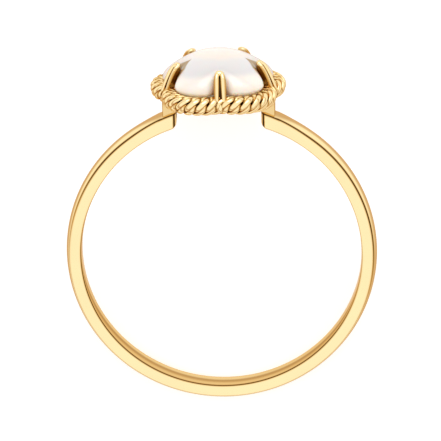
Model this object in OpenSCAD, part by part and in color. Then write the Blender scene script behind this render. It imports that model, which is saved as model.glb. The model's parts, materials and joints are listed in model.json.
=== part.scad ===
// A mother-of-pearl flower ring, lying on its side with its flower towards +Y.
// Sizes are millimetres. Every piece is drawn in the ring's own frame and laid down at the end.
// The ring's own frame has the finger along Y, the flower up along Z and its origin at the
// middle of the finger hole; the side that faces up when the ring lies is its front, at -Y.

/* [Band] */
// Inside diameter of the band
finger_d = 17.3; // [16:0.1:20]
// Width of the band along the finger
band_w = 1.5; // [1.3:0.05:2]
// Height of the flat side of the band, from the finger hole outwards
band_side = 0.67; // [0.5:0.01:0.8]
// Rise of the rounded outside above the flat sides
band_crown = 0.32; // [0.2:0.01:0.4]
// Gap between the two ends of the band under the flower
end_gap = 5.2; // [4.6:0.05:5.6]
// Rounding of the upright edges of the two ends
end_round = 0.27; // [0.1:0.01:0.35]

/* [Rope border] */
// Distance from the flower's middle to the middle of each petal's arc
petal_out = 1.83; // [1.7:0.01:2]
// Radius of each petal's arc, to the middle of the rope
petal_r = 1.87; // [1.8:0.01:2]
// Radius of the bend between two petals, to the middle of the rope
notch_r = 0.75; // [0.7:0.01:0.9]
// Diameter over the rope
rope_d = 1.2; // [1:0.02:1.3]
// Depth of the groove between two strands
rope_groove = 0.2; // [0.1:0.01:0.25]
// Height of the middle of the rope above the middle of the finger hole
rope_z = 10.56; // [10.5:0.01:10.8]

/* [Stone] */
// Radius of each petal of the stone
stone_petal_r = 1.65; // [1.55:0.01:1.7]
// Height of the stone's widest line above the middle of the finger hole
girdle_z = 11.35; // [11.25:0.01:11.5]
// Rise of the stone above its widest line
stone_rise = 1.58; // [1.4:0.01:1.8]

/* [Claws] */
// Diameter of each claw's wire
claw_wire_d = 0.38; // [0.3:0.01:0.42]
// Turn of the flower about its own upright axis
flower_turn = 4; // [-10:1:10]

/* [Hidden] */

GOLD = "#e6c27a";
NACRE = "#f3ece4";

PETALS = 5;
STEP = 360 / PETALS;
STRANDS = 3;
CROSSINGS = 7;                      // strands that cross the rope's top in each petal
SECTION_POINTS = 4;                 // points of the rope's section on each strand
STRAND_SHARE = 0.96;                // how sharp the groove between two strands is, up to 1
RINGS_PER_CROSSING = 3;
joint_gap = 0.02;                   // where the legs stand on the band
slack = 0.1;                        // how far a cut runs past what it cuts

bore_r = finger_d / 2;
side_r = bore_r + band_side;
crown_r = side_r + band_crown;

// The rope's route: one arc for each petal and a smaller bend between two petals
bend_at = petal_out * cos(STEP / 2)
    + sqrt(pow(petal_r + notch_r, 2) - pow(petal_out * sin(STEP / 2), 2));
notch_at = bend_at - notch_r;

// Resting tilt, where the hind petal's rope and the foot of the band's edge both touch z = 0
rope_r = rope_d / 2;
hind_y = petal_out * cos(flower_turn) + petal_r;
rest_run = rope_z + side_r;
rest_rise = hind_y - band_w / 2;
rest_tilt = atan2(rest_rise, rest_run) + asin(rope_r / norm([rest_run, rest_rise]));
rest_z = band_w / 2 * cos(rest_tilt) + side_r * sin(rest_tilt);
stone_top = girdle_z + stone_rise;
rest_y = (crown_r - stone_top) / 2 * cos(rest_tilt);

// The legs between the band's ends and the rope
leg_out = 3.45;                     // from the ring's middle plane to a leg's outer side
leg_w = leg_out - end_gap / 2;
leg_d = 1.05;
leg_top = rope_z - rope_r / 2;
leg_turn = asin((leg_out + end_gap / 2) / 2 / side_r);
leg_seat = side_r * cos(leg_turn - asin(end_gap / 2 / side_r));

// The stone's outline bends more sharply between its petals than the rope does
stone_notch_r = 0.3;
stone_mean_r = 2.95;
stone_foot_z = rope_z;
stone_dip = 0.15;                   // how far the stone draws in behind each claw
stone_dip_run = 0.34;               // share of half a petal over which it does
stone_fade = 1.6;                   // how late the petals melt into the round top
stone_puff = 0.85;                  // below 1 the dome's shoulders are fuller than an ellipse
STONE_POINTS = 12;                  // points on each petal
// The stone under its widest line, from its foot up: columns are how far it draws in and its
// height as a share of the drop to its foot
STONE_UNDER = [[0.45, 0], [0.38, 0.35], [0.22, 0.6], [0.07, 0.8]];
STONE_OVER = [0, 12, 24, 36, 48, 60, 72, 82];   // steps up the dome, as angles

// A claw from foot to tip: columns are distance from the flower's axis, height above the
// finger hole's middle, half the distance between its two wires, wire thickness as a share of
// claw_wire_d, and how far the web reaches in behind the wires
CLAW = [
    [3.34, 10.72, 0.22, 0.82, 0.42],
    [3.24, 11.15, 0.21, 0.86, 0.36],
    [3.10, 11.65, 0.20, 0.93, 0.28],
    [2.88, 12.10, 0.19, 1.00, 0.22],
    [2.56, 12.43, 0.17, 0.96, 0.18]
];
CLAW_OUT = 0;
CLAW_UP = 1;
CLAW_SPREAD = 2;
CLAW_THICK = 3;
CLAW_WEB = 4;
WIRE_ANGLES = [150, 110, 70, 30, -10, -50];     // points round one wire, from the groove outwards
claw_web_w = 0.3;
tip_d = 0.4;                        // round tip
tip_past = 0.03;                    // how far its middle is past the wires' ends
tip_turn = -30;
solder_r = 0.26;
solder_out = 0.45;                  // from the rope's bend outwards
solder_span = [-0.25, 0.3];         // its two ends, from the rope's middle

// Point on a route of arcs and bends, at a run of from -1 to 1 over one petal that points along X:
// columns are x, y and the direction of the outward normal
function petal_point(run, arc_r, bend_r) =
    let (at = petal_out * cos(STEP / 2)
            + sqrt(pow(arc_r + bend_r, 2) - pow(petal_out * sin(STEP / 2), 2)),
         half = atan2(at * sin(STEP / 2), at * cos(STEP / 2) - petal_out),
         arc = half * PI / 180 * arc_r,
         bend = (half - STEP / 2) * PI / 180 * bend_r,
         along = abs(run) * (arc + bend),
         side = run < 0 ? -1 : 1,
         turn = along <= arc ? along / arc * half : half - (along - arc) / bend * (half - STEP / 2))
    along <= arc
        ? [petal_out + arc_r * cos(turn), side * arc_r * sin(turn), side * turn]
        : [at * cos(STEP / 2) - bend_r * cos(turn),
           side * (at * sin(STEP / 2) - bend_r * sin(turn)), side * turn];

// The same point on petal number k, in the flower's frame
function flower_point(k, run, arc_r, bend_r) =
    let (p = petal_point(run, arc_r, bend_r), a = 90 + k * STEP)
    [p.x * cos(a) - p.y * sin(a), p.x * sin(a) + p.y * cos(a), p.z + a];

// Radius of the rope's section at an angle from the middle of a strand
function strand_r(a) =
    let (half = 180 / STRANDS, off = abs(a) / half)
    rope_r - rope_groove * (1 - sqrt(1 - pow(off, 2) * STRAND_SHARE));

// Faces of a closed band of rings, each with the same count of points
function band_faces(rings, sides, closed) = [
    for (i = [0 : rings - (closed ? 1 : 2)], j = [0 : sides - 1])
        let (a = i * sides + j, b = i * sides + (j + 1) % sides,
             c = ((i + 1) % rings) * sides + (j + 1) % sides, d = ((i + 1) % rings) * sides + j)
        each [[a, d, b], [b, d, c]]
];

// Lays the ring on its side, tilted as it rests
module lay() {
    translate([0, rest_y, rest_z]) rotate([rest_tilt - 90, 0, 0]) children();
}

module at_each_notch() {
    for (k = [0 : PETALS - 1]) rotate(90 + (k + 0.5) * STEP) children();
}

module at_each_end() {
    for (side = [0, 1]) mirror([side, 0, 0]) children();
}

// The band's section: flat inside and sides, rounded outside
module band_section() {
    crown_arc = (pow(band_w / 2, 2) + pow(band_crown, 2)) / 2 / band_crown;
    intersection() {
        translate([bore_r, -band_w / 2]) square([band_side + band_crown, band_w]);
        translate([crown_r - crown_arc, 0]) circle(crown_arc, $fn = 96);
    }
}

// Plan of the opening between the ends, which leaves their upright edges round
module end_plan() {
    reach = band_w / 2 + slack;
    square([end_gap, 2 * reach], center = true);
    for (side = [-1, 1], face = [-1, 1]) difference() {
        translate([side * (end_gap / 2 + end_round / 2), face * (band_w / 2 - end_round / 2 + slack / 2)])
            square([end_round, end_round + slack], center = true);
        translate([side * (end_gap / 2 + end_round), face * (band_w / 2 - end_round)])
            circle(end_round, $fn = 48);
    }
}

// Takes the band's crown down to a flat seat for a leg
module leg_seat_cut() {
    rotate([0, leg_turn, 0]) translate([-leg_w, -band_w, leg_seat])
        cube([2 * leg_w + slack, 2 * band_w, band_side + band_crown]);
}

module shank() {
    color(GOLD) lay() difference() {
        rotate([90, 0, 0]) rotate_extrude($fn = 180) band_section();
        linear_extrude(crown_r + slack) end_plan();
        at_each_end() intersection() {
            leg_seat_cut();
            translate([0, -band_w, 0]) cube([leg_out + joint_gap, 2 * band_w, crown_r + slack]);
        }
    }
}

// Border rope with its strands turning along the route
module rope() {
    rings = PETALS * CROSSINGS * RINGS_PER_CROSSING;
    sides = STRANDS * SECTION_POINTS;
    per_petal = CROSSINGS * RINGS_PER_CROSSING;
    points = [
        for (i = [0 : rings - 1])
            let (k = floor(i / per_petal), run = 2 * (i % per_petal) / per_petal - 1,
                 p = flower_point(k, run, petal_r, notch_r),
                 twist = 360 / STRANDS * i / RINGS_PER_CROSSING)
            for (j = [0 : sides - 1])
                let (a = -360 * j / sides,
                     off = a - 360 / STRANDS * round(a * STRANDS / 360),
                     r = strand_r(off))
                [p.x + r * cos(a + twist) * cos(p.z), p.y + r * cos(a + twist) * sin(p.z),
                 rope_z + r * sin(a + twist)]
    ];
    polyhedron(points, band_faces(rings, sides, true), convexity = 6);
}

// Section of a claw: the groove between its wires, one wire, the web's two corners and the
// other wire. Columns are sideways and outwards.
function claw_section(row) =
    let (r = claw_wire_d / 2 * row[CLAW_THICK],
         wire = [for (a = WIRE_ANGLES) [row[CLAW_SPREAD] + r * cos(a), r * sin(a)]],
         last = len(WIRE_ANGLES) - 1)
    concat([[0, 0]], wire, [[claw_web_w / 2, -row[CLAW_WEB]], [-claw_web_w / 2, -row[CLAW_WEB]]],
           [for (i = [last : -1 : 0]) [-wire[i].x, wire[i].y]]);

// Claw of two wires side by side with a web behind them, closed by one round tip
module claw() {
    last = len(CLAW) - 1;
    sides = 2 * len(WIRE_ANGLES) + 3;
    points = [
        for (i = [0 : last])
            let (row = CLAW[i], up = CLAW[min(i + 1, last)], down = CLAW[max(i - 1, 0)],
                 lean = atan2(up[CLAW_UP] - down[CLAW_UP], up[CLAW_OUT] - down[CLAW_OUT]))
            for (p = claw_section(row))
                [row[CLAW_OUT] + p.y * sin(lean), p.x, row[CLAW_UP] - p.y * cos(lean)]
    ];
    polyhedron(points, concat(
        band_faces(last + 1, sides, false),
        [[for (j = [0 : sides - 1]) j]],
        [[for (j = [sides - 1 : -1 : 0]) last * sides + j]]
    ));
    tip = CLAW[last];
    hull() for (side = [-1, 1])
        translate([tip[CLAW_OUT] - tip_past, side * tip[CLAW_SPREAD], tip[CLAW_UP] + tip_past])
            rotate([0, tip_turn, 0]) sphere(d = tip_d, $fn = 10);
}

// Solder that fills the rope's bend below a claw
module solder() {
    hull() for (up = solder_span)
        translate([notch_at + solder_out, 0, rope_z + up]) sphere(solder_r, $fn = 8);
}

// Leg between an end of the band and the rope
module leg() {
    intersection() {
        translate([end_gap / 2, -leg_d / 2, bore_r]) cube([leg_w, leg_d, leg_top - bore_r]);
        rotate([0, leg_turn, 0]) translate([-crown_r, -crown_r, leg_seat + joint_gap])
            cube([2 * crown_r, 2 * crown_r, crown_r]);
    }
}

// Ring of points round the stone, drawn in by the first value, at a height and with a share of
// the way to a plain round form. It draws in further behind each claw.
function stone_ring(draw, z, fade, shrink) = [
    for (k = [0 : PETALS - 1], i = [0 : STONE_POINTS - 1])
        let (run = 2 * i / STONE_POINTS - 1,
             p = flower_point(k, run, stone_petal_r - draw, stone_notch_r + draw),
             out = norm([p.x, p.y]),
             dip = stone_dip * max(0, 1 - (1 - abs(run)) / stone_dip_run),
             grow = (out - dip + (stone_mean_r - out) * fade) * shrink / out)
        [p.x * grow, p.y * grow, z]
];

module stone_form() {
    sides = PETALS * STONE_POINTS;
    levels = len(STONE_UNDER) + len(STONE_OVER);
    points = concat(
        [for (row = STONE_UNDER)
            each stone_ring(row[0], stone_foot_z + row[1] * (girdle_z - stone_foot_z), 0, 1)],
        [for (a = STONE_OVER)
            each stone_ring(0, girdle_z + stone_rise * sin(a), pow(sin(a), stone_fade),
                            pow(cos(a), stone_puff))],
        [[0, 0, stone_top]]
    );
    polyhedron(points, concat(
        band_faces(levels, sides, false),
        [for (j = [0 : sides - 1])
            [(levels - 1) * sides + j, levels * sides, (levels - 1) * sides + (j + 1) % sides]],
        [[for (j = [0 : sides - 1]) j]]
    ), convexity = 4);
}

module setting() {
    color(GOLD) lay() {
        rotate(flower_turn) {
            rope();
            at_each_notch() {
                solder();
                claw();
            }
        }
        at_each_end() leg();
    }
}

module stone() {
    color(NACRE) lay() rotate(flower_turn) stone_form();
}

shank();
setting();
stone();
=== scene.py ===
import json
from math import asin, atan2, cos, hypot, pi, radians, sin, sqrt
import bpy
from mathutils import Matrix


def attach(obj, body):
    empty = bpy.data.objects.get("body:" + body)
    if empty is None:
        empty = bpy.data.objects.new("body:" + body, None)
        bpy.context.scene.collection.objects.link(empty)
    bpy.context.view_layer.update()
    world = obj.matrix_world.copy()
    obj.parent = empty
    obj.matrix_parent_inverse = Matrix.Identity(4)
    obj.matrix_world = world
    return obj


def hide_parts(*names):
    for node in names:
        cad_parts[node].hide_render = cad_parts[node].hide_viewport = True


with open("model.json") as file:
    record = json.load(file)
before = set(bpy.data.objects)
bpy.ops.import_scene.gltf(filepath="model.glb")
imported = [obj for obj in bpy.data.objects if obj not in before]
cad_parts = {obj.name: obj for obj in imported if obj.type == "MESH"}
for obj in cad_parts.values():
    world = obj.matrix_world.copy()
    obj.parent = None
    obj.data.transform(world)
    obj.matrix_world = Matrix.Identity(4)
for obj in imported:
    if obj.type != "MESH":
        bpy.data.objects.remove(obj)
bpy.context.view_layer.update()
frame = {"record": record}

from types import SimpleNamespace

import bmesh
import bpy
from bpy.props import FloatProperty, FloatVectorProperty, IntProperty, PointerProperty
from bpy.types import Operator, Panel, PropertyGroup
from mathutils import Matrix, Vector
from mathutils.kdtree import KDTree

bl_info = {
    "name": "Petal ring",
    "version": (1, 0, 0),
    "blender": (4, 5, 0),
    "location": "3D View > Sidebar > Petal ring",
    "description": "Dresses a gold ring with a rope border, wire claws and a mother-of-pearl flower",
    "category": "Object",
}

MM = 0.001
PETALS = 5
STEP = 2 * pi / PETALS      # angle from one petal to the next
BEZIER_STEPS = 6            # steps along a smooth tube from one of its points to the next


# Frames of reference
# Every piece is modelled in millimetres in the ring's own frame: origin at the middle of the
# finger hole, X to the right, Y along the finger away from the front, Z up to the flower.

BORE = next(m for m in frame["record"]["mounts"] if m["name"] == "finger_bore")
BORE_R = BORE["dims"]["r_mm"]


def lay_matrix():
    """Matrix from the ring's own frame in millimetres to the floor frame in metres."""
    across = Vector((1, 0, 0))
    back = -Vector(BORE["axis"]).normalized()
    lay = Matrix((across, back, across.cross(back))).transposed().to_4x4()
    lay.translation = Vector(BORE["pos_m"])
    return lay @ Matrix.Scale(MM, 4)


LAY = lay_matrix()


# Sizes and colours a user would change

def length(name, description, mm):
    """A size, given in millimetres and kept in metres."""
    return FloatProperty(name=name, description=description, default=mm * MM, min=0,
                         precision=6, unit="LENGTH")


def angle(name, description, degrees):
    return FloatProperty(name=name, description=description, default=radians(degrees),
                         subtype="ANGLE", unit="ROTATION")


def share(name, description, value):
    return FloatProperty(name=name, description=description, default=value, min=0, max=1,
                         subtype="FACTOR")


def colour(name, description, value):
    return FloatVectorProperty(name=name, description=description, default=value, size=3,
                               min=0, max=1, subtype="COLOR")


class RingBandSizes(PropertyGroup):
    width: length("Width", "Width of the band along the finger", 1.488)
    side: length("Side height", "Height of the flat front and back faces", 0.77)
    crown: length("Crown rise", "Rise of the rounded outside above the flat faces", 0.2)
    gap: length("End gap", "Gap between the band's two ends", 5.2)
    end_round: length("End rounding", "Radius of the upright edges of the two ends", 0.29)
    edge_round: length("Edge rounding", "Width of the softened long edges", 0.08)
    comfort: length("Comfort curve", "How far the bore's edges stand back from its middle", 0.03)
    corner_round: length("Corner rounding", "Radius of the inner corner of the two ends", 0.32)
    flare: length("Flare", "Growth of the flat faces towards the two ends", 0.18)
    flare_run: length("Flare run", "Length of band over which the flat faces grow", 3.2)
    steps: IntProperty(name="Steps", description="Steps round the band", default=300, min=60)


class RingRopeSizes(PropertyGroup):
    petal_out: length("Petal distance", "Flower's middle to the middle of a petal's arc", 1.83)
    petal_r: length("Petal radius", "Radius of a petal's arc, to the middle of the rope", 1.87)
    bend_r: length("Bend radius", "Radius of the bend between two petals", 0.75)
    height: length("Height", "Middle of the rope above the middle of the finger hole", 10.56)
    strand_out: length("Strand distance", "Middle of the rope to the middle of a strand", 0.325)
    wire_out: length("Wire distance", "Middle of a strand to the middle of a wire", 0.17)
    wire_r: length("Wire radius", "Radius of one wire", 0.158)
    rolled_r: length("Rolled radius", "Radius past which the rope's outside is rolled flatter", 0.52)
    rolled: share("Rolled share", "How much of what stands past that radius is left", 0.4)
    turn: angle("Flower turn", "Turn of the flower about its own upright axis", 4)
    crossings: IntProperty(name="Crossings", description="Crossings of a strand all round, an odd "
                           "number that three doesn't divide", default=43, min=5)
    phase: angle("Phase", "Turn of the strands about the rope's middle", 78)
    wire_turn: angle("Wire turn", "Turn of the wires about their strand's middle", -45)


class RingStoneSizes(PropertyGroup):
    petal_r: length("Petal radius", "Radius of a petal of the stone", 1.65)
    girdle: length("Girdle height", "Widest line above the middle of the finger hole", 11.23)
    rise: length("Rise", "Rise of the dome above the widest line", 1.75)
    mean_r: length("Round radius", "Radius of the plain round form at the top", 2.82)
    dip: length("Claw dip", "How far the stone draws in behind each claw", 0.32)
    fade: share("Fade", "Share of the rise over which the petals melt into the round top", 0.9)
    puff: share("Puff", "Below 1 the shoulders are fuller than an ellipse", 0.88)


class RingFinish(PropertyGroup):
    gold: colour("Gold", "Reflection of the polished yellow gold", (0.96, 0.78, 0.43))
    gold_edge: colour("Gold edge", "Tint of the gold seen at a flat angle", (0.85, 0.66, 0.42))
    # The deep gold and dark line tones are painted shade: gold reflected in gold in gaps and on
    # flanks, the darkest shade in gaps, dark reflections on edges
    painted_deep_gold: colour("Deep gold", "Tone where the gold shows more gold", (0.62, 0.34, 0.08))
    gold_rough: share("Gold roughness", "Roughness of the polish", 0.07)
    line: colour("Dark line", "Darkest tone, in gaps and on edges", (0.045, 0.016, 0.004))
    nacre: colour("Nacre", "Body colour of the mother-of-pearl", (0.86, 0.83, 0.8))
    nacre_rough: share("Nacre roughness", "Roughness of the shell under its polish", 0.28)
    floor: colour("Floor", "Colour of the floor", (0.9, 0.9, 0.9))


# Helpers

def millimetres(group):
    """The group's values, with lengths in millimetres."""
    values = SimpleNamespace()
    for key, prop in group.bl_rna.properties.items():
        if key in ("rna_type", "name"):
            continue
        value = getattr(group, key)
        setattr(values, key, value / MM if getattr(prop, "unit", "") == "LENGTH" else value)
    return values


def floor_piece(name, bm, material, node):
    """Turns a bmesh in the ring's frame into a finished piece on the floor, for a CAD node."""
    bmesh.ops.transform(bm, matrix=LAY, verts=bm.verts)
    mesh = bpy.data.meshes.new(name)
    bm.to_mesh(mesh)
    bm.free()
    for face in mesh.polygons:
        face.use_smooth = True
    piece = bpy.data.objects.new(name, mesh)
    bpy.context.scene.collection.objects.link(piece)
    mesh.materials.append(material)
    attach(piece, "root")
    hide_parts(node)


def settled(obj):
    """Mesh of an object with its modifiers applied; the object is removed."""
    bpy.context.view_layer.update()
    graph = bpy.context.evaluated_depsgraph_get()
    mesh = bpy.data.meshes.new_from_object(obj.evaluated_get(graph))
    bpy.data.objects.remove(obj, do_unlink=True)
    return mesh


def tube_mesh(points, radii, closed, sides, bezier=False):
    """Mesh of a round tube along points, with a radius at each."""
    curve = bpy.data.curves.new("tube", "CURVE")
    curve.dimensions = "3D"
    curve.bevel_depth = 1.0
    curve.bevel_resolution = (sides - 4) // 2
    curve.use_fill_caps = not closed
    curve.resolution_u = BEZIER_STEPS
    spline = curve.splines.new("BEZIER" if bezier else "POLY")
    knots = spline.bezier_points if bezier else spline.points
    knots.add(len(points) - 1)
    for knot, point, radius in zip(knots, points, radii):
        if bezier:
            knot.co = point
            knot.handle_left_type = knot.handle_right_type = "AUTO"
        else:
            knot.co = (*point, 1)
        knot.radius = radius
    spline.use_cyclic_u = closed
    obj = bpy.data.objects.new("tube", curve)
    bpy.context.scene.collection.objects.link(obj)
    return settled(obj)


def smoothstep(low, high, value):
    """0 up to low and 1 from high on, with a soft rise between."""
    t = min(max((value - low) / (high - low), 0), 1)
    return t * t * (3 - 2 * t)


def petal_point(run, arc_out, arc_r, bend_r):
    """Point and outward direction on a petal along X, at a run of -1 to 1 over it."""
    at = arc_out * cos(STEP / 2) + sqrt((arc_r + bend_r) ** 2 - (arc_out * sin(STEP / 2)) ** 2)
    half = atan2(at * sin(STEP / 2), at * cos(STEP / 2) - arc_out)
    arc, bend = half * arc_r, (half - STEP / 2) * bend_r
    along, side = abs(run) * (arc + bend), -1 if run < 0 else 1
    if along <= arc:
        turn = along / arc_r
        return arc_out + arc_r * cos(turn), side * arc_r * sin(turn), side * turn
    turn = half - (along - arc) / bend_r
    return (at * cos(STEP / 2) - bend_r * cos(turn),
            side * (at * sin(STEP / 2) - bend_r * sin(turn)), side * turn)


def rope_point(rope, loop):
    """Middle of the rope and its outward direction after some loops round the flower."""
    petal, share_of = divmod(loop * PETALS, 1)
    x, y, out = petal_point(2 * share_of - 1, rope.petal_out, rope.petal_r, rope.bend_r)
    a = pi / 2 + petal * STEP + rope.turn
    return (Vector((x * cos(a) - y * sin(a), x * sin(a) + y * cos(a), rope.height)),
            Vector((cos(out + a), sin(out + a), 0)))


# Materials

class Wiring:
    """Short calls for adding and linking nodes."""

    def __init__(self, tree):
        self.tree = tree

    def add(self, kind, inputs=(), **settings):
        """New node, with its inputs linked or set and its settings made."""
        node = self.tree.nodes.new(kind)
        for key, value in settings.items():
            setattr(node, key, value)
        for key, value in dict(inputs).items():
            if isinstance(value, bpy.types.NodeSocket):
                self.tree.links.new(value, node.inputs[key])
            else:
                node.inputs[key].default_value = value
        return node

    def ramp(self, factor, stops, interpolation="EASE"):
        """Colour at a factor, from pairs of a place and the colour there."""
        node = self.add("ShaderNodeValToRGB", {"Fac": factor})
        node.color_ramp.interpolation = interpolation
        while len(node.color_ramp.elements) < len(stops):
            node.color_ramp.elements.new(1)
        for element, (place, value) in zip(node.color_ramp.elements, stops):
            element.position = place
            element.color = (*value, 1)
        return node.outputs["Color"]


def new_material(name, sockets):
    """Material with some of its shader's sockets set, with its wiring and its shader."""
    material = bpy.data.materials.new(name)
    material.use_nodes = True
    shader = material.node_tree.nodes["Principled BSDF"]
    for key, value in sockets.items():
        shader.inputs[key].default_value = value
    return material, Wiring(material.node_tree), shader


GOLD_SHADE = 0.97           # the gold's tone in its duller patches, as a share of its own
GOLD_WEAR = (0.7, 1.5)      # least and most roughness, as shares of the polish's own
LINE_START = 0.5            # strength of the painted shade at which its deep gold starts to turn dark


def gold_material(finish, name, mark):
    """Polished gold with painted shade: deeper and then dark where the vertex attribute named in
    mark is strong.
    """
    material, wiring, shader = new_material(name, {
        "Metallic": 1.0, "Specular Tint": (*finish.gold_edge, 1)})
    link = wiring.tree.links.new
    place = wiring.add("ShaderNodeTexCoord").outputs["Object"]
    hue = wiring.add("ShaderNodeTexNoise", {"Vector": place, "Scale": 350, "Detail": 2})
    tone = wiring.ramp(hue.outputs["Fac"], [
        (0.3, tuple(c * GOLD_SHADE for c in finish.gold)), (0.7, tuple(finish.gold))])
    there = wiring.add("ShaderNodeAttribute", attribute_name=mark).outputs["Fac"]
    # Painted shade: deep gold where the mark is middling, then the dark line where it is strong
    for tint, start, end in ((finish.painted_deep_gold, 0, LINE_START), (finish.line, LINE_START, 1)):
        amount = wiring.add("ShaderNodeMapRange", {
            "Value": there, "From Min": start, "From Max": end})
        mixed = wiring.add("ShaderNodeMixRGB", {
            "Fac": amount.outputs["Result"], "Color1": tone, "Color2": (*tint, 1)})
        tone = mixed.outputs["Color"]
    link(tone, shader.inputs["Base Color"])
    wear = wiring.add("ShaderNodeTexNoise", {"Vector": place, "Scale": 2600, "Detail": 4})
    rough = wiring.add("ShaderNodeMapRange", {
        "Value": wear.outputs["Fac"], "From Min": 0.3, "From Max": 0.75,
        "To Min": finish.gold_rough * GOLD_WEAR[0], "To Max": finish.gold_rough * GOLD_WEAR[1]})
    link(rough.outputs["Result"], shader.inputs["Roughness"])
    swell = wiring.add("ShaderNodeTexNoise", {"Vector": place, "Scale": 900, "Detail": 1})
    bump = wiring.add("ShaderNodeBump", {
        "Height": swell.outputs["Fac"], "Strength": 0.5, "Distance": 0.000006})
    link(bump.outputs["Normal"], shader.inputs["Normal"])
    return material


# Bands of tone up the stone, as shares of its height, and how each changes the body colour; partly
# the shell's own tone and partly painted reflection: lighter low down, a painted grey reflection
# across the middle, warm again at the top
NACRE_AND_PAINTED_REFLECTION_BANDS = [
    (0.0, (1.12, 1.02, 0.9)),
    (0.14, (1.11, 1.04, 0.97)),
    (0.3, (1.07, 1.02, 0.96)),
    (0.55, (0.83, 0.83, 0.85)),
    (0.78, (0.85, 0.85, 0.86)),
    (0.95, (1.0, 0.87, 0.78)),
]
NACRE_WANDER = 0.07         # how far the bands wander up and down, as a share of the height
# Marked tones: the vertex attribute, the tone where it is strong, and the most it is mixed in
NACRE_MARKS = [
    ("blush", (0.68, 0.54, 0.45), 0.75),        # pinkish side petals
    ("painted_valley_shade", (0.32, 0.17, 0.01), 1.0),        # painted shade and painted gold reflection in the valleys
]


def nacre_material(finish, low, high):
    """Mother-of-pearl in bands of tone between two heights in metres: partly the shell's own tone,
    partly painted reflection.
    """
    material, wiring, shader = new_material("nacre", {
        "Roughness": finish.nacre_rough, "Coat Weight": 0.8, "Coat Roughness": 0.04,
        "Coat IOR": 1.6, "IOR": 1.53, "Subsurface Weight": 0.25, "Subsurface Scale": 0.0006})
    link = wiring.tree.links.new
    place = wiring.add("ShaderNodeTexCoord").outputs["Object"]
    zones = wiring.add("ShaderNodeTexNoise", {"Vector": place, "Scale": 320, "Detail": 1.5})
    wander = wiring.add("ShaderNodeMapRange", {
        "Value": zones.outputs["Fac"], "From Min": 0.3, "From Max": 0.7,
        "To Min": -NACRE_WANDER, "To Max": NACRE_WANDER})
    split = wiring.add("ShaderNodeSeparateXYZ", {"Vector": place})
    height = wiring.add("ShaderNodeMapRange", {
        "Value": split.outputs["Y"], "From Min": low, "From Max": high})
    level = wiring.add("ShaderNodeMath", {
        0: height.outputs["Result"], 1: wander.outputs["Result"]})
    # Painted reflection up the stone: lighter low down, a grey band across the middle, warm at the
    # top
    tint = wiring.ramp(level.outputs["Value"], [
        (at, tuple(a * b for a, b in zip(finish.nacre, tone))) for at, tone in NACRE_AND_PAINTED_REFLECTION_BANDS])
    for mark, tone, most in NACRE_MARKS:
        there = wiring.add("ShaderNodeAttribute", attribute_name=mark).outputs["Fac"]
        amount = wiring.add("ShaderNodeMath", {0: there, 1: most}, operation="MULTIPLY")
        mixed = wiring.add("ShaderNodeMixRGB", {
            "Fac": amount.outputs["Value"], "Color1": tint, "Color2": (*tone, 1)})
        tint = mixed.outputs["Color"]
    link(tint, shader.inputs["Base Color"])
    grain = wiring.add("ShaderNodeTexNoise", {"Vector": place, "Scale": 1500, "Detail": 3})
    bump = wiring.add("ShaderNodeBump", {
        "Height": grain.outputs["Fac"], "Strength": 0.15, "Distance": 0.00002})
    link(bump.outputs["Normal"], shader.inputs["Normal"])
    return material


# Band

ROUND_STEPS = 4             # steps round each softened edge, of the band and of the legs
CROWN_STEPS = 24            # steps across the rounded outside
FLAT_CUTS = 9               # cuts that keep a flat face's tone even
INSIDE_SPARE = 1.01         # points up to this share of the comfort curve count as the inside
END_SPARE = 0.15            # length made past each end and cut off
END_ZONE = 4                # the ends lie this close to the ring's middle plane
END_LOOPS = 14              # extra loops across each end, closer together towards the end
END_REACH = 0.4             # length of band that they cover
END_LINE = (0.05, 0.1, 0.17, 0.23)      # lengths over which the end's painted dark reflection line comes in and goes
END_SIDE = 0.97             # share of half the width past which a point is on a flat face
END_SLIDE = 1               # past this length a point keeps its direction from the bore's middle
LINE_WIDE = (0.03, 0.1)     # distances from an edge over which its painted dark reflection line fades
LINE_FADE = (-0.5, 0.5)     # shares of the radius, towards the flower, over which a line comes in
LINE_LEAN = radians(14)     # lean of that direction to the right


def band_face_height(band, along):
    """Height of the flat faces at a distance along the band from its end."""
    return band.side + band.flare * (1 - smoothstep(0, band.flare_run, along))


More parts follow.
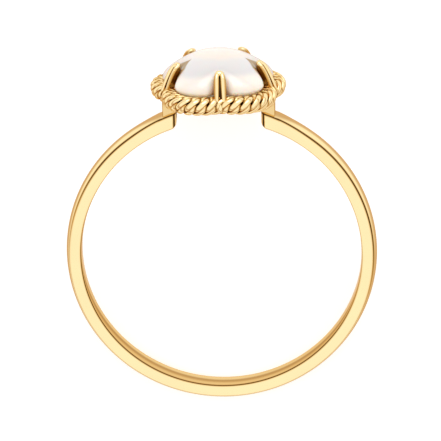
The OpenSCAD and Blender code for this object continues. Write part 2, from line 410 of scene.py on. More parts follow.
def make_band_mesh(band):
    """Bmesh of the band: a section spun round the finger, cut off at both ends."""
    bm = bmesh.new()
    # Painted reflection: a dark line of painted reflection along the softened edges
    line = bm.verts.layers.float.new("painted_edge_reflection")
    half, side_r, crown_r = band.width / 2, BORE_R + band.side, BORE_R + band.side + band.crown
    crown_arc = (half ** 2 + band.crown ** 2) / 2 / band.crown
    start = bm.verts.new((0, -half, side_r))
    arc = bmesh.ops.spin(bm, geom=[start], cent=(0, 0, crown_r - crown_arc), axis=(-1, 0, 0),
                         angle=2 * asin(half / crown_arc), steps=CROWN_STEPS, use_merge=False)
    end = next(g for g in arc["geom_last"] if isinstance(g, bmesh.types.BMVert))
    low = [bm.verts.new((0, y, BORE_R + band.comfort)) for y in (half, -half)]
    for a, b in ((end, low[0]), (low[0], low[1]), (low[1], start)):
        bm.edges.new((a, b))
    corners = [start, end, *low]
    corner_places = [v.co.copy() for v in corners]
    bmesh.ops.bevel(bm, geom=corners, offset=band.edge_round, segments=ROUND_STEPS,
                    profile=0.5, affect="VERTICES", material=-1)
    flats = [e for e in bm.edges if e.calc_length() > band.side / 2]
    bmesh.ops.subdivide_edges(bm, edges=flats, cuts=FLAT_CUTS)
    for vert in bm.verts:
        near = min((vert.co - place).length for place in corner_places)
        vert[line] = 1 - smoothstep(*LINE_WIDE, near)
        if vert.co.z < BORE_R + band.comfort * INSIDE_SPARE:
            vert.co.z -= band.comfort * (1 - (vert.co.y / half) ** 2)
    first = asin((band.gap / 2 - END_SPARE) / crown_r)
    bmesh.ops.rotate(bm, verts=bm.verts, cent=(0, 0, 0), matrix=Matrix.Rotation(first, 3, "Y"))
    bmesh.ops.spin(bm, geom=bm.verts[:] + bm.edges[:], cent=(0, 0, 0), axis=(0, 1, 0),
                   angle=2 * pi - 2 * first, steps=band.steps, use_merge=False)
    for side in (-1, 1):
        for i in range(END_LOOPS + 1):
            x = band.gap / 2 + END_REACH * (i / END_LOOPS) ** 2
            cut_near_end(bm, side, x, i == 0)
    return bm


def cut_near_end(bm, side, x, off):
    """Cuts a loop across one end of the band, and can take off and close what is past it."""
    near = [v for v in bm.verts if v.co.z > 0 and 0 < v.co.x * side < END_ZONE]
    geom = list({*near, *(e for v in near for e in v.link_edges),
                 *(f for v in near for f in v.link_faces)})
    cut = bmesh.ops.bisect_plane(bm, geom=geom, plane_co=(side * x, 0, 0),
                                 plane_no=(-side, 0, 0), clear_outer=off, dist=1e-6)
    if off:
        rim = [g for g in cut["geom_cut"] if isinstance(g, bmesh.types.BMEdge)]
        bmesh.ops.contextual_create(bm, geom=rim)


def quarter_round(radius, along):
    """How far a rounded edge stands back from its corner at a distance along it."""
    short = radius - min(max(along, 0), radius)
    return radius - sqrt(radius * radius - short * short)


def fade_edge_lines(bm, band):
    """Leaves the painted dark reflection line on outer edges near the flower, and on the front inner
    edge opposite.
    """
    line = bm.verts.layers.float["painted_edge_reflection"]
    for vert in bm.verts:
        r = hypot(vert.co.x, vert.co.z)
        inner = r < BORE_R + band.side / 2
        if inner and vert.co.y > 0:
            vert[line] = 0
        up = (vert.co.z * cos(LINE_LEAN) + vert.co.x * sin(LINE_LEAN)) / r
        vert[line] *= smoothstep(*LINE_FADE, -up if inner else up)


def shape_band_ends(bm, band):
    """Makes the flat faces taller towards the two ends, and rounds the ends' edges."""
    half, top = band.width / 2, band.side + band.crown
    line = bm.verts.layers.float["painted_edge_reflection"]
    for vert in bm.verts:
        if vert.co.z < 0:
            continue
        r = hypot(vert.co.x, vert.co.z)
        along = abs(vert.co.x) - band.gap / 2
        # Painted reflection: a dark line down the rounded upright edge of each end
        if abs(vert.co.y) > half * END_SIDE:
            end_line = smoothstep(*END_LINE[:2], along) * (1 - smoothstep(*END_LINE[2:], along))
            vert[line] = max(vert[line], end_line)
        height = band_face_height(band, along)
        up = r - BORE_R
        if up > band.side:
            up = height + (up - band.side) * (top - height) / band.crown
        else:
            up *= height / band.side
        low = quarter_round(band.corner_round, along)
        up = low + up * (top - low) / top
        vert.co.x *= (BORE_R + up) / r if along > END_SLIDE else 1
        vert.co.z *= (BORE_R + up) / r
        vert.co.y *= (half - quarter_round(band.end_round, along)) / half
    bmesh.ops.recalc_face_normals(bm, faces=bm.faces)


class RING_OT_make_band(Operator):
    """Makes the plain band with flat faces, a rounded outside and two soft ends"""
    bl_idname = "ring.make_band"
    bl_label = "Make band"
    bl_options = {"REGISTER", "UNDO"}

    def execute(self, context):
        band = millimetres(context.scene.ring_band)
        bm = make_band_mesh(band)
        fade_edge_lines(bm, band)
        shape_band_ends(bm, band)
        floor_piece("band", bm, gold_material(context.scene.ring_finish, "band_gold", "painted_edge_reflection"),
                    "shank")
        return {"FINISHED"}


# Rope

STRANDS = 2                 # strands laid round one another
WIRES = 3                   # wires twisted together in each strand
WIRE_TURNS = 4 / 3          # extra turns of a wire round its strand for one turn of the strand
WIRE_STEPS = 14             # points along a wire from one crossing to the next
WIRE_SIDES = 14             # points round a wire
GAP_WIDE = 0.12             # distance from another wire at which the painted shade ends
GAP_DARK = (0.95, 0.42)     # most of it beside a wire of the other strand, and of the same one
HOLE_DEEP = (0.33, 0.5)     # distances from the rope's middle where the painted shade fades and ends


def strand_point(rope, loop):
    """Middle of a strand after some loops, and the direction to it from the rope's middle."""
    middle, out = rope_point(rope, loop)
    a = rope.phase + pi * loop * rope.crossings
    away = cos(a) * out + sin(a) * Vector((0, 0, 1))
    return middle + rope.strand_out * away, away


def wire_path(rope):
    """Points of the one closed wire that lies in the rope six times side by side."""
    per_loop = rope.crossings * WIRE_STEPS
    points = []
    for i in range(per_loop * STRANDS * WIRES):
        loop = i / per_loop
        here, away = strand_point(rope, loop)
        ahead = strand_point(rope, loop + 0.5 / per_loop)[0]
        across = (ahead - here).normalized().cross(away)
        turn = rope.wire_turn + WIRE_TURNS * (rope.phase + pi * loop * rope.crossings)
        points.append(here + rope.wire_out * (cos(turn) * away + sin(turn) * across))
    return points


def paint_gap_shade(bm, rope, points):
    """Gives each vertex of the rope its painted shade: deep in the rope, and next to another wire.

    Returns a search tree of the rope's middle line.
    """
    painted_shade = bm.verts.layers.float.new("painted_shade")
    per_loop = rope.crossings * WIRE_STEPS
    middle, wires = KDTree(per_loop), KDTree(len(points))
    for i in range(per_loop):
        middle.insert(rope_point(rope, i / per_loop)[0], i)
    for i, point in enumerate(points):
        wires.insert(point, i)
    middle.balance()
    wires.balance()
    for vert in bm.verts:
        own = wires.find(vert.co)[1]
        gap = [GAP_WIDE, GAP_WIDE]
        for _, i, away in wires.find_range(vert.co, rope.wire_r + GAP_WIDE):
            if WIRE_STEPS < abs(i - own) < len(points) - WIRE_STEPS:
                same = (i // per_loop - own // per_loop) % STRANDS == 0
                gap[same] = min(gap[same], away - rope.wire_r)
        dark = [(1 - smoothstep(0, GAP_WIDE, g)) * most for g, most in zip(gap, GAP_DARK)]
        deep = 1 - smoothstep(*HOLE_DEEP, middle.find(vert.co)[2])
        vert[painted_shade] = max(deep, *dark)
    return middle


class RING_OT_make_rope(Operator):
    """Makes the rope border, its strands laid round one another along five petals"""
    bl_idname = "ring.make_rope"
    bl_label = "Make rope border"
    bl_options = {"REGISTER", "UNDO"}

    def execute(self, context):
        rope = millimetres(context.scene.ring_rope)
        points = wire_path(rope)
        bm = bmesh.new()
        bm.from_mesh(tube_mesh(points, [rope.wire_r] * len(points), True, WIRE_SIDES))
        bmesh.ops.recalc_face_normals(bm, faces=bm.faces)
        middle = paint_gap_shade(bm, rope, points)
        for vert in bm.verts:
            point, _, away = middle.find(vert.co)
            if away > rope.rolled_r:
                kept = rope.rolled_r + (away - rope.rolled_r) * rope.rolled
                vert.co = point + (vert.co - point) * kept / away
        floor_piece("rope_border", bm,
                    gold_material(context.scene.ring_finish, "rope_gold", "painted_shade"),
                    "setting")
        return {"FINISHED"}


# Claws and legs

# One claw from foot to tip: distance from the flower's axis, height, half the distance between
# the two wires, radius of each wire, and how far the bar behind them reaches in
CLAW_ROWS = [
    (3.50, 10.46, 0.36, 0.150, 0.30),
    (3.47, 10.76, 0.250, 0.152, 0.52),
    (3.34, 11.15, 0.222, 0.160, 0.48),
    (3.15, 11.62, 0.212, 0.165, 0.38),
    (2.96, 12.00, 0.202, 0.165, 0.30),
    (2.79, 12.24, 0.170, 0.160, 0.26),
    (2.63, 12.37, 0.125, 0.150, 0.20),
]
BAR_WIDE = 0.93             # the bar reaches this share of a wire's radius past its middle sideways
BAR_BACK = 0.82             # width of the bar's back against its front
BAR_DEEP = (0.6, 0.8)       # how far its back is past its depth, and its front behind the wires'
                            # middles, as shares of a wire's radius
WIRE_ROUND = 20             # points round a claw's wire
BALL_STEPS = {"u_segments": 24, "v_segments": 16}       # of the tip and the solder
CLAW_TIP = (0.19, 0.265, 0.16)      # half sizes of the round tip
TIP_SHIFT = (-0.02, 0, 0.01)        # from the wires' ends to its middle
TIP_LEAN = radians(30)      # slope of the tip, which is higher at its inner end
CLAW_TWISTS = (0, -19, 0, 19, 0)    # degrees that each claw is turned about its own length
CLAW_SLIM = (1, 0.82, 1, 0.82, 1)   # width of each claw against the front one's
CLAW_VOXEL, CLAW_ROUNDS = 0.022, 5  # size of the steps in its skin, and rounds of smoothing
SOLDER = ((3.5, 0, 10.5), (0.2, 0.2, 0.34))     # middle and half sizes of the solder drop
# Painted shade on each claw: in the slot between its wires, on the flanks of its bar and on its
# sides
SLOT_DEEP = 0.2             # the painted shade of the slot between the wires reaches this deep behind their middles
SLOT_WIDE = (0.13, 0.06)    # half width of its painted shade at the foot and at the top
SLOT_FULL = 0.4             # share of that width that is fully dark
SLOT_FOOT = (10.75, 10.95)  # heights over which the dark tone comes in
SLOT_TOP = (12.26, 12.36)   # heights over which it goes
RIM_DARK, RIM_OUT = 0.5, (0.2, 0.35)    # painted shade of a claw's sides, and where it comes in
FLANK_DEEP = (0.03, 0.28)   # depths behind the wires over which the flanks are painted darker
FLANK_UP = (10.9, 12.2)     # heights over which the flanks turn light again
FLANK_DARK = (0.6, 0.45)    # painted shade of the flanks at those two heights

LEG_OUT, LEG_THICK = 3.45, 1.05     # outer side from the ring's middle, and size along the finger
LEG_SPAN = (8.72, 10.3)     # heights of a leg's foot and top
LEG_CUTS = 9                # cuts that keep its tone even
LEG_ROUND = 0.07            # width of its softened edges
LEG_LINE = (0.5, 0.13)      # painted shade along its upright edges, and how wide that is
LEG_DARK, LEG_UP = 0.6, (9.3, 10.1)     # its painted shadow under the rope, and where that comes in


def claw_mesh():
    """Mesh of one claw that points along X: two wires, the bar behind them, tip and solder."""
    bm = bmesh.new()
    bmesh.ops.create_cube(bm, size=1)
    rungs = len(CLAW_ROWS) - 1
    upright = [e for e in bm.edges if abs(e.verts[0].co.z - e.verts[1].co.z) > 0.5]
    bmesh.ops.subdivide_edges(bm, edges=upright, cuts=rungs - 1, use_grid_fill=False)
    for vert in bm.verts:
        i = round((vert.co.z + 0.5) * rungs)
        out, up, spread, r, depth = CLAW_ROWS[i]
        low, high = CLAW_ROWS[max(i - 1, 0)], CLAW_ROWS[min(i + 1, rungs)]
        way = Vector((high[0] - low[0], 0, high[1] - low[1])).normalized()
        inward = Vector((-way.z, 0, way.x))
        wide = (spread + r * BAR_WIDE) * (1 if vert.co.y > 0 else -1)
        reach = depth + r * BAR_DEEP[0] if vert.co.x < 0 else r * BAR_DEEP[1]
        vert.co = Vector((out, wide * (BAR_BACK if vert.co.x < 0 else 1), up)) + inward * reach
    for side in (-1, 1):
        bm.from_mesh(tube_mesh([(out, side * spread, up) for out, up, spread, _, _ in CLAW_ROWS],
                               [r for *_, r, _ in CLAW_ROWS], False, WIRE_ROUND, bezier=True))
    end = Vector((CLAW_ROWS[-1][0], 0, CLAW_ROWS[-1][1]))
    for sizes, lean, place in ((CLAW_TIP, TIP_LEAN, end + Vector(TIP_SHIFT)),
                               (SOLDER[1], 0, SOLDER[0])):
        ball = bmesh.ops.create_uvsphere(bm, radius=1, **BALL_STEPS)["verts"]
        bmesh.ops.scale(bm, vec=sizes, verts=ball)
        bmesh.ops.rotate(bm, cent=(0, 0, 0), matrix=Matrix.Rotation(lean, 3, "Y"), verts=ball)
        bmesh.ops.translate(bm, vec=place, verts=ball)
    bmesh.ops.recalc_face_normals(bm, faces=bm.faces)
    return bm


def claw_middle(height):
    """Point between a claw's two wires at a height, and the direction inwards from it."""
    for low, high in zip(CLAW_ROWS, CLAW_ROWS[1:]):
        if height <= high[1]:
            break
    along = min(max((height - low[1]) / (high[1] - low[1]), 0), 1)
    way = Vector((high[0] - low[0], 0, high[1] - low[1])).normalized()
    return Vector((low[0] + (high[0] - low[0]) * along, 0, height)), Vector((-way.z, 0, way.x))


def claw_shade(point):
    """Strength of a claw's painted shade at a point: in its slot, on its flanks and on its sides."""
    middle, inward = claw_middle(point.z)
    behind, side = (point - middle).dot(inward), abs(point.y)
    ends = smoothstep(*SLOT_FOOT, point.z) * (1 - smoothstep(*SLOT_TOP, point.z))
    up = smoothstep(*FLANK_UP, point.z)
    wide, dark = (low + (high - low) * up for low, high in (SLOT_WIDE, FLANK_DARK))
    slot = ends * (1 - smoothstep(wide * SLOT_FULL, wide, side)) if behind < SLOT_DEEP else 0
    flank = smoothstep(*FLANK_DEEP, behind) * dark
    rim = RIM_DARK * smoothstep(*RIM_OUT, side)
    return max(slot, flank, rim)


def twist_claw(verts, turn, slim):
    """Makes a claw's cross-sections slimmer, and turns them about its middle line."""
    for vert in verts:
        middle, inward = claw_middle(vert.co.z)
        away = vert.co - middle
        deep, side = away.dot(inward), away.y
        along = away - inward * deep - Vector((0, side, 0))
        side *= slim
        vert.co = (middle + along + inward * (deep * cos(turn) - side * sin(turn))
                   + Vector((0, 1, 0)) * (deep * sin(turn) + side * cos(turn)))


def grow_together(bm):
    """Bmesh of a claw's parts as one smooth skin."""
    mesh = bpy.data.meshes.new("parts")
    bm.to_mesh(mesh)
    bm.free()
    obj = bpy.data.objects.new("parts", mesh)
    bpy.context.scene.collection.objects.link(obj)
    skin = obj.modifiers.new("skin", "REMESH")
    skin.mode = "VOXEL"
    skin.voxel_size = CLAW_VOXEL
    soft = obj.modifiers.new("soft", "SMOOTH")
    soft.factor = 0.5
    soft.iterations = CLAW_ROUNDS
    grown = bmesh.new()
    grown.from_mesh(settled(obj))
    return grown


class RING_OT_make_claws(Operator):
    """Makes the five claws, each of two wires with a web behind and one round tip"""
    bl_idname = "ring.make_claws"
    bl_label = "Make claws"
    bl_options = {"REGISTER", "UNDO"}

    def execute(self, context):
        rope = millimetres(context.scene.ring_rope)
        one = grow_together(claw_mesh())
        painted_shade = one.verts.layers.float.new("painted_shade")
        for vert in one.verts:
            vert[painted_shade] = claw_shade(vert.co)
        mesh = bpy.data.meshes.new("claw")
        one.to_mesh(mesh)
        one.free()
        bm = bmesh.new()
        for k in range(PETALS):
            before = len(bm.verts)
            bm.from_mesh(mesh)
            bm.verts.ensure_lookup_table()
            twist_claw(bm.verts[before:], radians(CLAW_TWISTS[k]), CLAW_SLIM[k])
            bmesh.ops.rotate(bm, cent=(0, 0, 0), verts=bm.verts[before:],
                             matrix=Matrix.Rotation(pi / 2 + (k + 0.5) * STEP + rope.turn, 3, "Z"))
        floor_piece("claws", bm, gold_material(context.scene.ring_finish, "claw_gold", "painted_shade"),
                    "setting")
        return {"FINISHED"}


class RING_OT_make_legs(Operator):
    """Makes the two legs between the band's ends and the rope"""
    bl_idname = "ring.make_legs"
    bl_label = "Make legs"
    bl_options = {"REGISTER", "UNDO"}

    def execute(self, context):
        inner = millimetres(context.scene.ring_band).gap / 2
        bm = bmesh.new()
        low, high = LEG_SPAN
        for side in (-1, 1):
            cube = bmesh.ops.create_cube(bm, size=1)["verts"]
            bmesh.ops.scale(bm, vec=(LEG_OUT - inner, LEG_THICK, high - low), verts=cube)
            bmesh.ops.translate(bm, vec=(side * (LEG_OUT + inner) / 2, 0, (low + high) / 2),
                                verts=cube)
        upright = [e for e in bm.edges if e.verts[0].co.z != e.verts[1].co.z]
        bmesh.ops.subdivide_edges(bm, edges=upright, cuts=LEG_CUTS, use_grid_fill=True)
        sharp = [e for e in bm.edges if e.calc_face_angle() > pi / 4]
        bmesh.ops.bevel(bm, geom=sharp, offset=LEG_ROUND, segments=ROUND_STEPS, profile=0.5,
                        affect="EDGES", material=-1)
        # Painted shade: dark along the upright edges, and a painted shadow under the rope
        painted_shade = bm.verts.layers.float.new("painted_shade")
        dark, wide = LEG_LINE
        for vert in bm.verts:
            beyond = max(abs(vert.co.x) - LEG_OUT, inner - abs(vert.co.x))
            beside = smoothstep(0, wide, beyond + wide) * dark
            vert[painted_shade] = max(beside, LEG_DARK * smoothstep(*LEG_UP, vert.co.z))
        floor_piece("legs", bm, gold_material(context.scene.ring_finish, "leg_gold", "painted_shade"),
                    "setting")
        return {"FINISHED"}


# Stone

STONE_STEPS = {"u_segments": 360, "v_segments": 96}     # round it, and from its top to its foot
VALLEY_SOFT = 0.14          # rounding of the bend between two petals
VALLEY_HALF = 0.27          # half the angle over which the stone draws in behind a claw
VALLEY_TOP = 0.7            # share of the rise at which that ends
VALLEY_LOST = 0.8           # share of that depth that is lost at the stone's foot
VALLEY_OUT = 3.2            # distance of the valleys from the flower's axis
# Painted shade and painted gold reflection on the stone: a brown wedge of shade in each valley
# behind a claw, and a painted brown line of shade and reflected gold on up from the side claws
WEDGE_HALF = 1.05           # half width of a valley's painted brown shade wedge at its foot
WEDGE_FULL = 0.35           # share of that width that has all of its tone
WEDGE_DARK = 0.75           # strength of the wedge's tone
WEDGE_UP = (10.9, 12.1)     # heights of its foot and tip
WEDGE_UNDER = (-0.7, -0.5)  # sines of the latitude over which it leaves the underside plain
LINE_HALF = 0.9             # half width of the painted brown line beside a side claw
LINE_FULL = 0.6             # share of that width that has all of its tone
LINE_UP = (0.6, 0.83)       # shares of the rise over which that line narrows to nothing
LINE_SIDE = (0.5, 0.9)      # shares of the way to the side over which it comes in
BLUSH_PETALS = (1, 4)       # side petals, counted from the hind one
BLUSH_WIDE = (0.8, 1.0)     # shares of half a petal over which their pinkish tone goes
BLUSH_UP = (0.6, 0.95)      # shares of the rise over which it goes
NACRE_LOW = 0.45            # the lowest tone starts this far below the widest line
UNDER = pi / 4              # latitude under the widest line at which the stone reaches its foot
# The stone under its widest line: how far its petals draw in, and the share of the way to its foot
STONE_UNDER = [(0, 0), (0.07, 0.2), (0.22, 0.4), (0.38, 0.65), (0.45, 1)]


def petal_reach(a, out, r):
    """Distance to the outline of a petal in a direction at an angle from its middle."""
    return out * cos(a) + sqrt(max(r * r - (out * sin(a)) ** 2, 0))


def stone_outline(stone, out, turn, a, draw):
    """Distance to the stone's outline in a direction, with soft bends between the petals."""
    off = (a - pi / 2 - turn + STEP / 2) % STEP - STEP / 2
    here = petal_reach(off, out, stone.petal_r - draw)
    there = petal_reach(STEP - abs(off), out, stone.petal_r - draw)
    blend = max(VALLEY_SOFT - abs(here - there), 0) / VALLEY_SOFT
    reach = max(here, there) + blend * blend * VALLEY_SOFT / 4
    return reach, stone.dip * (1 - smoothstep(0, VALLEY_HALF, STEP / 2 - abs(off)))


def painted_valley_strength(turn, a, rise, z):
    """Strength of the painted shade and painted gold reflection in the valleys: a V behind each claw
    and a line on from it.
    """
    off = (a - pi / 2 - turn) % STEP - STEP / 2
    side = abs(off) * VALLEY_OUT
    half = WEDGE_HALF * (WEDGE_UP[1] - z) / (WEDGE_UP[1] - WEDGE_UP[0])
    wedge = WEDGE_DARK * (1 - smoothstep(WEDGE_FULL * half, half, side)) if half > 0 else 0
    wedge *= smoothstep(*WEDGE_UNDER, rise)
    half = LINE_HALF * min((LINE_UP[1] - rise) / (LINE_UP[1] - LINE_UP[0]), 1)
    line = 1 - smoothstep(LINE_FULL * half, half, side) if half > 0 and rise > 0 else 0
    return max(wedge, line * smoothstep(*LINE_SIDE, abs(cos(a))))


def blush_mark(turn, a, rise):
    """Strength of the pinkish tone of the two side petals."""
    petal = round((a - pi / 2 - turn) / STEP) % PETALS
    off = (a - pi / 2 - turn + STEP / 2) % STEP - STEP / 2
    inside = 1 - smoothstep(*BLUSH_WIDE, abs(off) / (STEP / 2))
    return inside * (1 - smoothstep(*BLUSH_UP, rise)) if petal in BLUSH_PETALS else 0


def under_draw(depth):
    """How far the petals draw in under the widest line, at a share of the way to the foot."""
    for (d0, h0), (d1, h1) in zip(STONE_UNDER, STONE_UNDER[1:]):
        if depth <= h1:
            return d0 + (d1 - d0) * (depth - h0) / (h1 - h0)


def stone_point(stone, rope, a, lat):
    """Point of the stone's surface for a direction and a latitude on a ball."""
    if lat >= 0:
        reach, dip = stone_outline(stone, rope.petal_out, rope.turn, a, 0)
        grow = (reach + (stone.mean_r - reach) * smoothstep(0, stone.fade, sin(lat))
                - dip * (1 - smoothstep(0, VALLEY_TOP, sin(lat))))
        r = grow * max(cos(lat), 0) ** stone.puff
        z = stone.girdle + stone.rise * sin(lat)
    else:
        depth = min(-lat / UNDER, 1)
        reach, dip = stone_outline(stone, rope.petal_out, rope.turn, a, under_draw(depth))
        r = reach - dip * (1 - VALLEY_LOST * depth)
        if -lat > UNDER:
            r *= max(1 - (-lat - UNDER) / (pi / 2 - UNDER), 0)
        z = stone.girdle + (rope.height - stone.girdle) * depth
    return Vector((r * cos(a), r * sin(a), z))


class RING_OT_make_stone(Operator):
    """Makes the puffy five-petal stone of mother-of-pearl"""
    bl_idname = "ring.make_stone"
    bl_label = "Make stone"
    bl_options = {"REGISTER", "UNDO"}

    def execute(self, context):
        stone = millimetres(context.scene.ring_stone)
        rope = millimetres(context.scene.ring_rope)
        bm = bmesh.new()
        bmesh.ops.create_uvsphere(bm, radius=1, **STONE_STEPS)
        # Painted shade and painted gold reflection in the valleys
        painted_valley_shade = bm.verts.layers.float.new("painted_valley_shade")
        blush = bm.verts.layers.float.new("blush")
        for vert in bm.verts:
            lat = asin(max(-1, min(1, vert.co.z)))
            a = atan2(vert.co.y, vert.co.x)
            vert.co = stone_point(stone, rope, a, lat)
            vert[blush] = blush_mark(rope.turn, a, sin(lat))
            vert[painted_valley_shade] = painted_valley_strength(rope.turn, a, sin(lat), vert.co.z)
        bmesh.ops.recalc_face_normals(bm, faces=bm.faces)
        low = (LAY @ Vector((0, 0, stone.girdle - NACRE_LOW))).y
        high = (LAY @ Vector((0, 0, stone.girdle + stone.rise))).y
        floor_piece("nacre_flower", bm, nacre_material(context.scene.ring_finish, low, high),
                    "stone")
        return {"FINISHED"}


# Stage

AROUND, ABOVE, ROLL = radians(2.45), radians(19.85), radians(-1.15)     # the camera's angles
CAMERA_FAR = 250            # distance of the camera
LOOK_AT = (-0.04, 0, 2.01)  # point in the middle of the picture
SENSOR, LENS = 36, 330.25   # width of the camera's sensor, and its focal length
CLIP = (0.01, 5)            # nearest and farthest that the camera sees, in metres
LAMP_AT, LAMP_SIZE, LAMP_GLOW = (0.02, 0.25, 0.13), 0.2, 1.6        # in metres, but for its glow
SHINE = 1.12                # strength of the studio as the gold and the nacre show it
SKY_GLOW = 0.95             # strength of the studio's plain light
SKY_TONES = [(0, (0.7,) * 3), (0.5, (0.85,) * 3), (1, (1.0,) * 3)]      # from below to above
TENT_TONES = [              # degrees from the camera's direction, and the tone that shows there
    (0, (1.0, 1.0, 1.0)),
    (60, (1.0, 1.0, 1.0)),
    (80, (0.62, 0.46, 0.35)),
    (106, (0.6, 0.45, 0.34)),
    (180, (0.86, 0.77, 0.7)),
]
FLOOR_R = 0.9               # radius of the floor in metres
FLOOR_GLOW = 0.35           # strength of its own white light
FLOOR_REACH = 40            # its tone in the gold changes up to this far from the bore's middle
FLOOR_TONES = [             # distance from the bore's middle, and the tone that shows in the gold: painted shade near the ring, darkest in a painted contact shadow under the bore's wall
    (7.2, (0.86, 0.74, 0.6)),
    (7.7, (0.8, 0.66, 0.5)),
    (7.92, (0.44, 0.28, 0.15)),
    (8.12, (0.9, 0.84, 0.8)),
    (10.4, (0.74, 0.62, 0.54)),
    (12, (0.7, 0.57, 0.5)),
    (14.5, (1.0, 1.0, 1.0)),
]


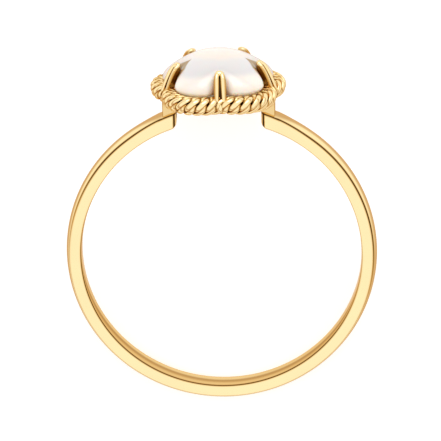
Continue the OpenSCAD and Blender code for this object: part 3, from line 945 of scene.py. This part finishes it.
class RING_OT_make_stage(Operator):
    """Makes the pale floor, the soft light and the camera"""
    bl_idname = "ring.make_stage"
    bl_label = "Make stage"
    bl_options = {"REGISTER", "UNDO"}

    def execute(self, context):
        scene = context.scene
        scene.view_settings.view_transform = "Standard"
        self.make_floor(scene)
        self.make_world(scene)
        self.make_lamp(scene)
        self.make_camera(scene)
        return {"FINISHED"}

    def make_world(self, scene):
        """Plain soft light, and a studio that shows warmer in the gold away from the camera."""
        world = bpy.data.worlds.new("studio")
        world.use_nodes = True
        scene.world = world
        tree = world.node_tree
        tree.nodes.clear()
        wiring = Wiring(tree)
        way = wiring.add("ShaderNodeTexCoord").outputs["Generated"]
        split = wiring.add("ShaderNodeSeparateXYZ", {"Vector": way})
        up = wiring.add("ShaderNodeMapRange", {
            "Value": split.outputs["Z"], "From Min": -1, "From Max": 1})
        sky = wiring.ramp(up.outputs["Result"], SKY_TONES, "LINEAR")
        front = LAY.to_3x3().normalized() @ self.camera_way()
        facing = wiring.add("ShaderNodeVectorMath", {0: way, 1: front}, operation="DOT_PRODUCT")
        off = wiring.add("ShaderNodeMath", {0: facing.outputs["Value"]}, operation="ARCCOSINE")
        turn = wiring.add("ShaderNodeMapRange", {
            "Value": off.outputs["Value"], "From Min": 0, "From Max": pi})
        tent = wiring.ramp(turn.outputs["Result"], [(at / 180, tone) for at, tone in TENT_TONES])
        mirror = wiring.add("ShaderNodeBackground", {"Color": tent, "Strength": SHINE})
        plain = wiring.add("ShaderNodeBackground", {"Color": sky, "Strength": SKY_GLOW})
        rays = wiring.add("ShaderNodeLightPath")
        mix = wiring.add("ShaderNodeMixShader", {"Fac": rays.outputs["Is Glossy Ray"]})
        tree.links.new(plain.outputs[0], mix.inputs[1])
        tree.links.new(mirror.outputs[0], mix.inputs[2])
        out = wiring.add("ShaderNodeOutputWorld")
        tree.links.new(mix.outputs[0], out.inputs["Surface"])

    def make_lamp(self, scene):
        """Round lamp behind the ring, turned to it."""
        lamp = bpy.data.lights.new("back_light", "AREA")
        lamp.shape, lamp.size = "DISK", LAMP_SIZE
        lamp.energy = LAMP_GLOW * pi * LAMP_SIZE ** 2 / 4 * pi
        obj = bpy.data.objects.new("back_light", lamp)
        scene.collection.objects.link(obj)
        obj.location = LAMP_AT
        obj.rotation_euler = Vector(LAMP_AT).to_track_quat("Z", "Y").to_euler()

    def make_floor(self, scene):
        """Pale floor, which shows darker in the polished gold through painted shade near the ring.
        """
        bm = bmesh.new()
        bmesh.ops.create_circle(bm, cap_ends=True, segments=96, radius=FLOOR_R)
        mesh = bpy.data.meshes.new("floor")
        bm.to_mesh(mesh)
        bm.free()
        floor = bpy.data.objects.new("floor", mesh)
        scene.collection.objects.link(floor)
        material, wiring, shader = new_material("floor_white", {
            "Base Color": (*scene.ring_finish.floor, 1), "Roughness": 0.9, "Specular IOR Level": 0,
            "Emission Color": (1, 1, 1, 1), "Emission Strength": FLOOR_GLOW})
        place = wiring.add("ShaderNodeTexCoord").outputs["Object"]
        flat = wiring.add("ShaderNodeVectorMath", {0: place, 1: (1, 1, 0)}, operation="MULTIPLY")
        middle = (LAY.translation.x, LAY.translation.y, 0)
        away = wiring.add("ShaderNodeVectorMath", {0: flat.outputs["Vector"], 1: middle},
                          operation="DISTANCE")
        reach = wiring.add("ShaderNodeMapRange", {
            "Value": away.outputs["Value"], "From Min": 0, "From Max": FLOOR_REACH * MM})
        # Painted shade of the floor as the gold reflects it: darker near the ring, with a painted
        # contact shadow under the bore's wall
        shade = wiring.ramp(reach.outputs["Result"], [
            (at / FLOOR_REACH, tone) for at, tone in FLOOR_TONES])
        mirrored = wiring.add("ShaderNodeEmission", {"Color": shade, "Strength": SHINE})
        rays = wiring.add("ShaderNodeLightPath")
        mix = wiring.add("ShaderNodeMixShader", {"Fac": rays.outputs["Is Glossy Ray"]})
        wiring.tree.links.new(shader.outputs[0], mix.inputs[1])
        wiring.tree.links.new(mirrored.outputs[0], mix.inputs[2])
        out = material.node_tree.nodes["Material Output"]
        wiring.tree.links.new(mix.outputs[0], out.inputs["Surface"])
        mesh.materials.append(material)

    def camera_way(self):
        """Direction from the ring to the camera in the ring's own frame."""
        return Vector((sin(AROUND) * cos(ABOVE), -cos(AROUND) * cos(ABOVE), sin(ABOVE)))

    def make_camera(self, scene):
        """Camera at the photograph's angle to the ring."""
        back = self.camera_way()
        right = Vector((0, 0, 1)).cross(back).normalized()
        up = back.cross(right)
        across = right * cos(ROLL) + up * sin(ROLL)
        rise = up * cos(ROLL) - right * sin(ROLL)
        view = Matrix((across, rise, back)).transposed().to_4x4()
        view.translation = Vector(LOOK_AT) + back * CAMERA_FAR
        camera = bpy.data.objects.new("camera", bpy.data.cameras.new("camera"))
        scene.collection.objects.link(camera)
        camera.data.sensor_width, camera.data.lens = SENSOR, LENS
        camera.data.clip_start, camera.data.clip_end = CLIP
        camera.location = (LAY @ view).translation
        camera.rotation_euler = (LAY.to_3x3().normalized() @ view.to_3x3()).to_euler()
        scene.camera = camera


class RING_PT_panel(Panel):
    """Buttons and sizes for the petal ring"""
    bl_label = "Petal ring"
    bl_space_type = "VIEW_3D"
    bl_region_type = "UI"
    bl_category = "Petal ring"

    def draw(self, context):
        for make in OPERATORS:
            self.layout.operator(make.bl_idname)
        for key, (group, label) in GROUPS.items():
            box = self.layout.box()
            box.label(text=label)
            values = getattr(context.scene, key)
            for name in group.__annotations__:
                box.prop(values, name)


GROUPS = {
    "ring_band": (RingBandSizes, "Band"),
    "ring_rope": (RingRopeSizes, "Rope border"),
    "ring_stone": (RingStoneSizes, "Stone"),
    "ring_finish": (RingFinish, "Finish"),
}
OPERATORS = (
    RING_OT_make_band,
    RING_OT_make_rope,
    RING_OT_make_claws,
    RING_OT_make_legs,
    RING_OT_make_stone,
    RING_OT_make_stage,
)


def register():
    for key, (group, _) in GROUPS.items():
        bpy.utils.register_class(group)
        setattr(bpy.types.Scene, key, PointerProperty(type=group))
    for cls in (*OPERATORS, RING_PT_panel):
        bpy.utils.register_class(cls)


def unregister():
    for cls in (RING_PT_panel, *reversed(OPERATORS)):
        bpy.utils.unregister_class(cls)
    for key, (group, _) in reversed(GROUPS.items()):
        delattr(bpy.types.Scene, key)
        bpy.utils.unregister_class(group)


def main():
    register()
    for make in OPERATORS:
        group, name = make.bl_idname.split(".")
        if getattr(getattr(bpy.ops, group), name)() != {"FINISHED"}:
            raise RuntimeError(f"{make.bl_label} did not finish")


if __name__ == "__main__":
    main()
